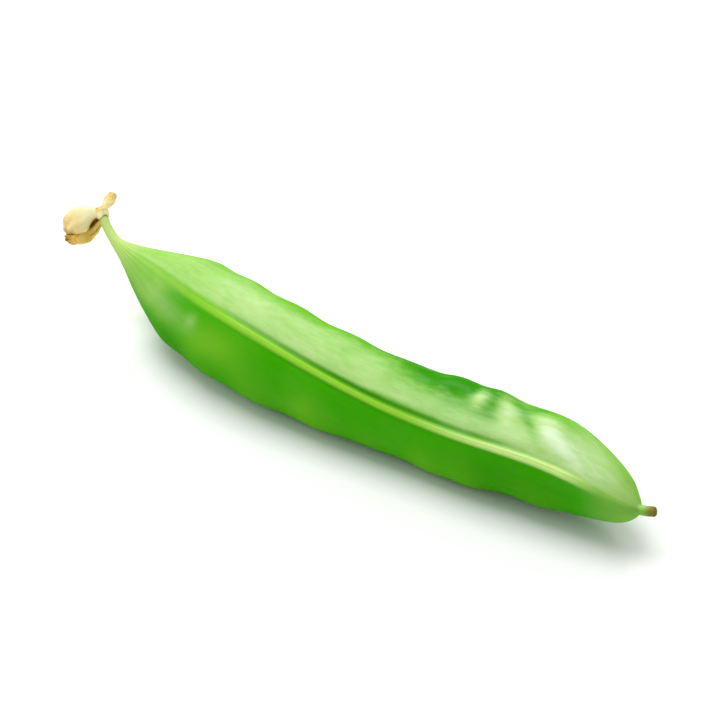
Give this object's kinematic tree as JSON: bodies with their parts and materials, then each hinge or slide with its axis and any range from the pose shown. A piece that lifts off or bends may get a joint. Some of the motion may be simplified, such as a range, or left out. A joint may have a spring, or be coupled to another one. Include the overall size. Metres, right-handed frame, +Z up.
{
  "type": "pea pod",
  "caption": "Closed garden pea pod lying on its side: slim hollow-sided neck with a withered blossom, plump valves with pea bulges, pale ridged seam, round shoulder and short stub.",
  "frame": {"origin": "centre of the bounding box in plan, at the surface the pod lies on", "axes": "+X along the pod from the blossom to the stub, +Z up, the seam looks towards -Y and half up"},
  "size_m": [0.0922, 0.0178, 0.0132],
  "materials": {
    "pod_skin": "fresh green skin with a thin wax bloom, soft gloss, paler along the seam and neck",
    "withered_petal": "dry, matt, papery, cream with tan and brown edges"
  },
  "bodies": {
    "root": {"pod": "pod_skin", "withered_blossom": "withered_petal"}
  },
  "joints": []
}
